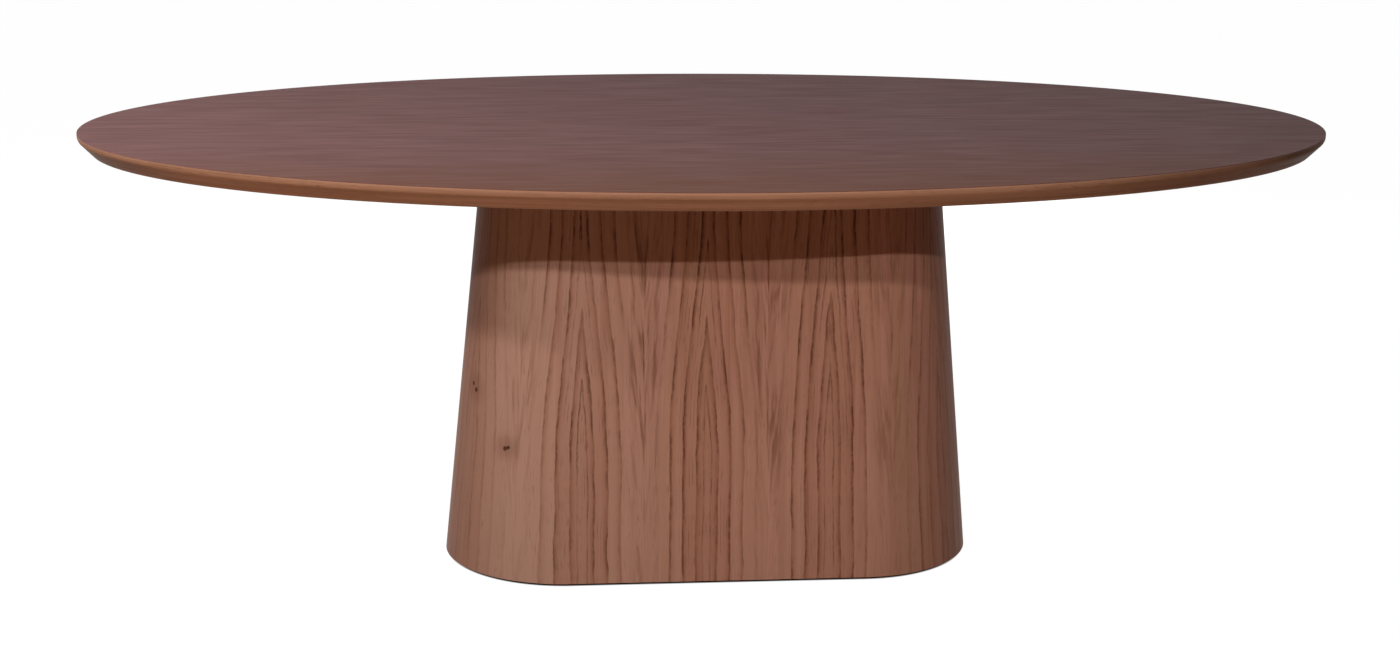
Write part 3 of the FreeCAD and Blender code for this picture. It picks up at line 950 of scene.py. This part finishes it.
class TABLE_OT_lipping(bpy.types.Operator):
    """Solid lipping round the top, in eight lengths, with its upright edge and undercut bevel"""

    bl_idname = "table.lipping"
    bl_label = "Lipping"

    def execute(self, context):
        sizes = context.scene.table_sizes
        material = rim_wood(context.scene.table_colours)
        half_length = sizes.top_length / 2
        half_width = sizes.top_width / 2
        top = LIPPING_BOX[1].z
        under = LIPPING_BOX[0].z
        edge_foot = FACE_BOX[1].z - sizes.edge_height
        bevel_foot = edge_foot - sizes.bevel_drop
        inset = sizes.bevel_inset * (edge_foot - under) / (edge_foot - bevel_foot)
        loops = [
            (0.0, top),
            (0.0, edge_foot),
            (inset, under),
            (sizes.lipping_width, under),
            (sizes.lipping_width, top),
        ]
        blank = oval_blank("lipping_blank", sizes, top, "NOTHING")
        for (last_inset, last_height), (next_inset, height) in zip(loops, loops[1:]):
            bpy.ops.mesh.extrude_region_move(
                TRANSFORM_OT_translate={"value": (0.0, 0.0, height - last_height)}
            )
            factors = (
                (half_length - next_inset) / (half_length - last_inset),
                (half_width - next_inset) / (half_width - last_inset),
                1.0,
            )
            bpy.ops.transform.resize(value=factors, center_override=CENTRE)
        select_parts(blank, "EDGE", at_height(top))
        bpy.ops.mesh.bridge_edge_loops()
        face_outwards()
        select_parts(blank, "EDGE", at_height(edge_foot))
        bpy.ops.mesh.bevel(offset=sizes.edge_round, segments=5, affect="EDGES")
        bpy.ops.object.mode_set(mode="OBJECT")
        place_of = edge_map(half_length, half_width, top)
        for number, (node, (start, end)) in enumerate(LIPPING_ENDS.items()):
            length = copy_of(blank, node + "_wood")
            first = math.radians(start)
            last = math.radians(end)
            cut_away(length, CENTRE, (-math.sin(first), math.cos(first), 0.0), True)
            cut_away(length, CENTRE, (math.sin(last), -math.cos(last), 0.0), True)
            middle = (first + last) / 2.0
            offset = GRAIN_OFFSET * number
            lay_grain_map(length, lambda point: place_of(point, middle, offset))
            smooth_shading(length)
            hand_over(length, node, material)
        remove(blank)
        return {"FINISHED"}


class TABLE_OT_pedestal_leaves(bpy.types.Operator):
    """Ten matched leaves of veneer round the tapered pedestal"""

    bl_idname = "table.pedestal_leaves"
    bl_label = "Pedestal leaves"

    def execute(self, context):
        sizes = context.scene.table_sizes
        foot = FRONT_LEAF_BOX[0].z
        head = FRONT_LEAF_BOX[1].z
        foot_radius = -FRONT_LEAF_BOX[0].y
        middle_radius = foot_radius - sizes.base_lean / 2
        straight = END_LEAF_BOX[1].x - foot_radius
        joint = FRONT_LEAF_BOX[1].x
        pitch = 2.0 * joint
        turn = (3.0 * joint - straight) / middle_radius
        material = pedestal_wood(context.scene.table_colours, pitch)

        def flat_sheet(name, start, end):
            deselect_everything()
            bpy.ops.mesh.primitive_plane_add(size=1.0)
            sheet = bpy.context.view_layer.objects.active
            sheet.name = name
            bpy.ops.object.mode_set(mode="EDIT")
            bpy.ops.mesh.select_all(action="SELECT")
            bpy.ops.transform.rotate(value=math.pi / 2, orient_axis="X", center_override=CENTRE)
            bpy.ops.transform.resize(value=(end - start, 1.0, head - foot), center_override=CENTRE)
            middle = (foot + head) / 2
            bpy.ops.transform.translate(value=((start + end) / 2, -foot_radius, middle))
            select_parts(sheet, "VERT", lambda point: point.co.z > middle)
            bpy.ops.transform.translate(value=(0.0, sizes.base_lean, 0.0))
            return sheet

        def point_outwards(sheet):
            work_on(sheet, "EDIT")
            bpy.ops.mesh.select_all(action="SELECT")
            bpy.ops.mesh.remove_doubles(threshold=TINY)
            shape = bmesh.from_edit_mesh(sheet.data)
            shape.normal_update()
            outward = 0.0
            for face in shape.faces:
                centre = face.calc_center_median()
                spine = max(-straight, min(straight, centre.x))
                out = Vector((centre.x - spine, centre.y, 0.0))
                outward += face.normal.dot(out) * face.calc_area()
            if outward < 0.0:
                bpy.ops.mesh.flip_normals()
            bpy.ops.object.mode_set(mode="OBJECT")

        def finish_leaf(sheet, node):
            back = "back" in node
            point_outwards(sheet)
            work_on(sheet)
            bpy.ops.object.modifier_add(type="SOLIDIFY")
            skin = sheet.modifiers[-1]
            skin.thickness = sizes.veneer
            skin.offset = -1.0
            bpy.ops.object.modifier_apply(modifier=skin.name)

            def place_of(point):
                side = math.copysign(1.0, point.x)
                along = abs(point.x)
                if along > straight:
                    along = straight + middle_radius * math.atan2(along - straight, abs(point.y))
                if back:
                    return (5.0 * pitch - side * along, point.z)
                return (side * along, point.z)

            lay_grain_map(sheet, place_of)
            smooth_shading(sheet)
            hand_over(sheet, node, material)

        def mirrored(source, name, flip_x, flip_y):
            piece = copy_of(source, name)
            work_on(piece, "EDIT")
            bpy.ops.mesh.select_all(action="SELECT")
            factors = (-1.0 if flip_x else 1.0, -1.0 if flip_y else 1.0, 1.0)
            bpy.ops.transform.resize(value=factors, center_override=CENTRE)
            bpy.ops.object.mode_set(mode="OBJECT")
            return piece

        middle_sheet = flat_sheet("middle_sheet", -joint, joint)
        bpy.ops.object.mode_set(mode="OBJECT")
        quarter = flat_sheet("quarter_sheet", 0.0, straight)
        select_parts(
            quarter,
            "EDGE",
            lambda edge: all(abs(point.co.x - straight) < TINY for point in edge.verts),
        )
        bend_centre = (straight, 0.0, 0.0)
        bpy.ops.mesh.spin(
            steps=sizes.bend_steps, angle=-math.pi / 2, center=bend_centre, axis=(0.0, 0.0, 1.0)
        )
        bpy.ops.object.mode_set(mode="OBJECT")
        if max(point.co.x for point in quarter.data.vertices) < straight + TINY:
            raise RuntimeError("the pedestal's end was spun the wrong way")
        next_sheet = copy_of(quarter, "next_sheet")
        cut_away(next_sheet, (joint, 0.0, 0.0), (1.0, 0.0, 0.0), False)
        bend = (math.cos(turn), math.sin(turn), 0.0)
        cut_away(next_sheet, bend_centre, tuple(-part for part in bend), False)
        end_sheet = copy_of(quarter, "end_sheet")
        cut_away(end_sheet, bend_centre, bend, False)
        for node, flip in (("front", False), ("back", True)):
            leaf = mirrored(middle_sheet, f"pedestal_{node}_wood", False, flip)
            finish_leaf(leaf, f"base_leaf_{node}")
        corners = {
            "front_right": (False, False),
            "front_left": (True, False),
            "back_right": (False, True),
            "back_left": (True, True),
        }
        for corner, (flip_x, flip_y) in corners.items():
            leaf = mirrored(next_sheet, f"pedestal_{corner}_wood", flip_x, flip_y)
            finish_leaf(leaf, f"base_leaf_{corner}")
            depth, side = corner.split("_")
            leaf = mirrored(end_sheet, f"pedestal_{side}_end_{depth}_wood", flip_x, flip_y)
            finish_leaf(leaf, f"base_leaf_{side}_end_{depth}")
        for sheet in (middle_sheet, quarter, next_sheet, end_sheet):
            remove(sheet)
        return {"FINISHED"}


def board_wood(wiring, shader, place, light, dark, warm, smoothest, roughest, pore=None):
    """Colour, gloss and relief of a plain board. Without a colour for them, its pores don't show."""
    streaks, pores, drift = wiring.group(streak_group(), place=place, shortness=1.0)
    colour = wiring.blend(streaks, light, dark)
    colour = wiring.blend(wiring.times(drift, 0.3), colour, warm)
    if pore is not None:
        colour = wiring.blend(wiring.times(pores, 0.5), colour, pore)
    finish(wiring, shader, colour, wiring.scale(streaks, 0.0, 1.0, smoothest, roughest), streaks)


def nodes_named(start):
    """Names of the CAD nodes that start with a word."""
    return [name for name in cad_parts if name.startswith(start)]


class TABLE_OT_hidden_boards(bpy.types.Operator):
    """Finishes of the boards under the veneer"""

    bl_idname = "table.hidden_boards"
    bl_label = "Boards under the veneer"

    def execute(self, context):
        self.backing(context.scene.table_colours.rim_dark)
        self.fibreboard()
        self.plywood()
        self.softwood()
        return {"FINISHED"}

    def backing(self, wood):
        material, wiring, shader = new_material("backing_veneer")
        shader.inputs["Specular IOR Level"].default_value = 0.2
        place = object_place(wiring)
        straight_wood(
            wiring,
            shader,
            wiring.vector(place["Y"], place["X"]),
            light=wood,
            dark=darker(wood, 0.7),
            pore=(0.05, 0.02, 0.01),
            roughness=0.62,
        )
        dress_nodes(["top_backing"], material)

    def fibreboard(self):
        material, wiring, shader = new_material("fibreboard")
        place = object_vector(wiring)
        fibres = wiring.noise(place, 3.0, 0.7, rates=(900.0, 900.0, 900.0))
        patches = wiring.noise(place, 2.0, 0.5, rates=(9.0, 9.0, 9.0))
        colour = wiring.blend(wiring.fade(fibres, 0.35, 0.65), (0.46, 0.31, 0.18), (0.34, 0.21, 0.11))
        colour = wiring.blend(wiring.fade(patches, 0.4, 0.7, 0.0, 0.3), colour, (0.40, 0.24, 0.12))
        finish(wiring, shader, colour, wiring.scale(fibres, 0.3, 0.7, 0.75, 0.9), fibres)
        dress_nodes(["top_core_upper", "top_core_lower", "front_panel", "back_panel"], material)

    def plywood(self):
        material, wiring, shader = new_material("plywood")
        place = object_place(wiring)
        board_wood(
            wiring,
            shader,
            wiring.vector(place["Y"], place["X"], place["Z"]),
            light=(0.56, 0.38, 0.21),
            dark=(0.44, 0.28, 0.15),
            warm=(0.50, 0.30, 0.15),
            smoothest=0.6,
            roughest=0.75,
            pore=(0.26, 0.15, 0.08),
        )
        boards = ["bottom_plate", "middle_rib", "top_plate", "right_end_shell", "left_end_shell"]
        dress_nodes(boards, material)

    def softwood(self):
        material, wiring, shader = new_material("softwood")
        place = object_place(wiring)
        around = wiring.plus(place["X"], wiring.times(place["Y"], 0.7))
        board_wood(
            wiring,
            shader,
            wiring.vector(around, place["Z"]),
            light=(0.66, 0.48, 0.28),
            dark=(0.52, 0.33, 0.16),
            warm=(0.58, 0.36, 0.18),
            smoothest=0.55,
            roughest=0.7,
        )
        dress_nodes(nodes_named("batten_"), material)


class TABLE_OT_hardware(bpy.types.Operator):
    """Finishes of the bolts, inserts and levelling feet"""

    bl_idname = "table.hardware"
    bl_label = "Hardware"

    def execute(self, context):
        self.zinc()
        self.plastic()
        return {"FINISHED"}

    def zinc(self):
        material, wiring, shader = new_material("zinc_plate")
        shader.inputs["Metallic"].default_value = 1.0
        flakes = wiring.noise(object_vector(wiring), 2.0, 0.6, rates=(350.0, 350.0, 350.0))
        colour = wiring.blend(wiring.fade(flakes, 0.35, 0.65), (0.62, 0.63, 0.62), (0.48, 0.48, 0.45))
        finish(wiring, shader, colour, wiring.scale(flakes, 0.3, 0.7, 0.28, 0.45))
        fittings = ["top_inserts", "top_washers", "top_bolts", "foot_nuts"]
        dress_nodes(fittings + nodes_named("foot_stud_"), material)

    def plastic(self):
        material, wiring, shader = new_material("foot_plastic")
        place = object_vector(wiring)
        grain = wiring.noise(place, 2.0, 0.5, rates=(1500.0, 1500.0, 1500.0))
        scuffs = wiring.noise(place, 3.0, 0.6, rates=(60.0, 60.0, 240.0))
        colour = wiring.blend(
            wiring.fade(scuffs, 0.5, 0.75), (0.022, 0.021, 0.020), (0.055, 0.052, 0.048)
        )
        gloss = wiring.scale(scuffs, 0.3, 0.7, 0.5, 0.7)
        finish(wiring, shader, colour, gloss, grain, strength=0.15, depth=0.0001)
        dress_nodes(nodes_named("foot_pad_"), material)


# The stage


WHITE = (1.0, 1.0, 1.0, 1.0)
FLOOR_SIZE = 60.0

# Middle of the front edge of the top, which the two front lamps are aimed at
FRONT_EDGE = Vector((0.0, -0.58, 0.755))

# The camera: its place in metres, its turns in radians, and its focal length in pixels of the frame
CAMERA_PLACE = (-0.4851, -4.3781, 1.5466)
CAMERA_YAW = 0.1065
CAMERA_PITCH = 0.2534
CAMERA_ROLL = 0.0137
FOCAL_PIXELS = 2519.532
FRAME_PIXELS = 1400.0
SENSOR_WIDTH = 36.0


def from_front_edge(azimuth, elevation, distance):
    """A place seen from the front edge: degrees to the right of straight ahead, and degrees up."""
    side = math.radians(azimuth)
    rise = math.radians(elevation)
    level = distance * math.cos(rise)
    away = Vector((math.sin(side) * level, -math.cos(side) * level, math.sin(rise) * distance))
    return FRONT_EDGE + away


class TABLE_OT_stage(bpy.types.Operator):
    """White floor, soft sky, six lamps and the camera"""

    bl_idname = "table.stage"
    bl_label = "Stage"

    def execute(self, context):
        scene = context.scene
        scene.view_settings.view_transform = "Standard"
        self.floor(scene.table_colours.floor)
        self.sky(scene)
        self.lamps()
        self.camera(scene)
        return {"FINISHED"}

    def floor(self, colour):
        deselect_everything()
        bpy.ops.mesh.primitive_plane_add(size=FLOOR_SIZE)
        floor = bpy.context.view_layer.objects.active
        floor.name = "floor"
        material, wiring, shader = new_material("pale_floor")
        shader.inputs["Base Color"].default_value = (*colour, 1.0)
        shader.inputs["Roughness"].default_value = 0.9
        shader.inputs["Specular IOR Level"].default_value = 0.0
        shaded = wiring.node("ShaderNodeBsdfDiffuse")
        shaded.inputs["Color"].default_value = (0.10, 0.10, 0.10, 1.0)
        glow = wiring.node("ShaderNodeEmission")
        # Painted shade: the floor's white is taken away under the pedestal
        wiring.join(self.beside_pedestal(wiring), glow.inputs["Strength"])
        white = wiring.node("ShaderNodeAddShader")
        wiring.join(shaded.outputs[0], white.inputs[0])
        wiring.join(glow.outputs[0], white.inputs[1])
        self.show(wiring, shader, white, "Material Output")
        floor.data.materials.append(material)

    def beside_pedestal(self, wiring):
        """Strength of the floor's white: none under the pedestal, full beside it, which paints shade on
        the floor under the pedestal.
        """
        place = object_place(wiring)
        foot_radius = -FRONT_LEAF_BOX[0].y
        straight = END_LEAF_BOX[1].x - foot_radius
        beyond = wiring.math("MAXIMUM", wiring.minus(wiring.size_of(place["X"]), straight), 0.0)
        away = wiring.length(wiring.vector(beyond, place["Y"]))
        return wiring.fade(away, foot_radius - 0.008, foot_radius - 0.001, 0.0, 0.985)

    def show(self, wiring, light, seen, output):
        """Use one shader to light the table, and another where the floor or sky itself is seen."""
        rays = wiring.node("ShaderNodeLightPath").outputs
        direct = wiring.plus(rays["Is Camera Ray"], rays["Is Glossy Ray"])
        direct = wiring.math("ADD", direct, rays["Is Transmission Ray"], clamp=True)
        choice = wiring.node("ShaderNodeMixShader")
        wiring.join(direct, choice.inputs[0])
        wiring.join(light.outputs[0], choice.inputs[1])
        wiring.join(seen.outputs[0], choice.inputs[2])
        wiring.join(choice.outputs[0], wiring.tree.nodes[output].inputs["Surface"])

    def sky(self, scene):
        world = bpy.data.worlds.new("soft_sky")
        scene.world = world
        world.use_nodes = True
        wiring = Wiring(world.node_tree)
        light = world.node_tree.nodes["Background"]
        seen = wiring.node("ShaderNodeBackground")
        for background, strength in ((light, 0.040), (seen, 1.0)):
            background.inputs["Color"].default_value = WHITE
            background.inputs["Strength"].default_value = strength
        self.show(wiring, light, seen, "World Output")

    def lamp(self, kind, name, place, target, energy):
        """A lamp at a place that shines at a target."""
        turned = (Vector(place) - Vector(target)).to_track_quat("Z", "Y").to_euler()
        bpy.ops.object.light_add(type=kind, location=place, rotation=turned)
        lamp = bpy.context.view_layer.objects.active
        lamp.name = name
        lamp.data.energy = energy
        return lamp.data

    def disk_lamp(self, name, place, target, width, energy):
        """A round lamp of some width."""
        light = self.lamp("AREA", name, place, target, energy)
        light.shape = "DISK"
        light.size = width
        return light

    def lamps(self):
        """Two front lamps that cast the top's two-step shadow, and four that fill."""
        right_distance = 2.4
        right = self.lamp(
            "SPOT",
            "lamp_right",
            place=from_front_edge(7.6, 22.7, right_distance),
            target=FRONT_EDGE,
            energy=4.0 * math.pi * right_distance**2 * 1.63,
        )
        right.shadow_soft_size = 0.015
        right.spot_size = math.radians(56.0)
        right.spot_blend = 1.0
        left_distance = 2.2
        self.disk_lamp(
            "lamp_left",
            place=from_front_edge(-32.2, 23.8, left_distance),
            target=FRONT_EDGE,
            width=0.06,
            energy=math.pi * left_distance**2 * 1.92,
        )
        self.disk_lamp(
            "lamp_above", place=(-1.8, -0.3, 2.6), target=(-1.8, -0.3, 0.0), width=1.2, energy=33.5
        )
        low = self.disk_lamp(
            "lamp_low", place=(0.05, -3.4, 0.30), target=(0.05, 0.0, 0.30), width=1.0, energy=0.97
        )
        low.color = (1.0, 0.66, 0.44)
        low.spread = math.radians(50.0)
        self.disk_lamp(
            "lamp_side",
            place=(-2.896, -0.904, 1.88),
            target=(-0.4, -0.15, 0.45),
            width=0.14,
            energy=33.0,
        )
        self.disk_lamp(
            "lamp_back", place=(0.8, 3.4, 0.50), target=(0.0, 0.0, 0.4), width=0.40, energy=75.0
        )

    def camera(self, scene):
        level = math.cos(CAMERA_PITCH)
        ahead = Vector(
            (math.sin(CAMERA_YAW) * level, math.cos(CAMERA_YAW) * level, -math.sin(CAMERA_PITCH))
        )
        right = Vector((math.cos(CAMERA_YAW), -math.sin(CAMERA_YAW), 0.0))
        upward = right.cross(ahead)
        right, upward = (
            right * math.cos(CAMERA_ROLL) + upward * math.sin(CAMERA_ROLL),
            upward * math.cos(CAMERA_ROLL) - right * math.sin(CAMERA_ROLL),
        )
        turned = Matrix((right, upward, -ahead)).transposed().to_euler()
        bpy.ops.object.camera_add(location=CAMERA_PLACE, rotation=turned)
        camera = bpy.context.view_layer.objects.active
        camera.name = "camera"
        camera.data.sensor_fit = "HORIZONTAL"
        camera.data.sensor_width = SENSOR_WIDTH
        camera.data.lens = FOCAL_PIXELS * SENSOR_WIDTH / FRAME_PIXELS
        scene.camera = camera


class TABLE_PT_panel(bpy.types.Panel):
    """Lists the table's pieces in the sidebar"""

    bl_idname = "TABLE_PT_panel"
    bl_label = "Oval Pedestal Table"
    bl_space_type = "VIEW_3D"
    bl_region_type = "UI"
    bl_category = "Table"

    def draw(self, context):
        for operator in OPERATORS:
            self.layout.operator(operator.bl_idname)
        for group in (context.scene.table_sizes, context.scene.table_colours):
            column = self.layout.column()
            for name in group.__annotations__:
                column.prop(group, name)


OPERATORS = (
    TABLE_OT_face_leaves,
    TABLE_OT_lipping,
    TABLE_OT_pedestal_leaves,
    TABLE_OT_hidden_boards,
    TABLE_OT_hardware,
    TABLE_OT_stage,
)
CLASSES = (TableSizes, TableColours, *OPERATORS, TABLE_PT_panel)


def register():
    """Make the operators, sizes and colours known to Blender."""
    for item in CLASSES:
        bpy.utils.register_class(item)
    bpy.types.Scene.table_sizes = PointerProperty(type=TableSizes)
    bpy.types.Scene.table_colours = PointerProperty(type=TableColours)


def unregister():
    """Take them away again."""
    del bpy.types.Scene.table_colours
    del bpy.types.Scene.table_sizes
    for item in reversed(CLASSES):
        bpy.utils.unregister_class(item)


def main():
    """Build every piece and the stage."""
    register()
    bpy.ops.table.face_leaves()
    bpy.ops.table.lipping()
    bpy.ops.table.pedestal_leaves()
    bpy.ops.table.hidden_boards()
    bpy.ops.table.hardware()
    bpy.ops.table.stage()
    deselect_everything()


if __name__ == "__main__":
    main()
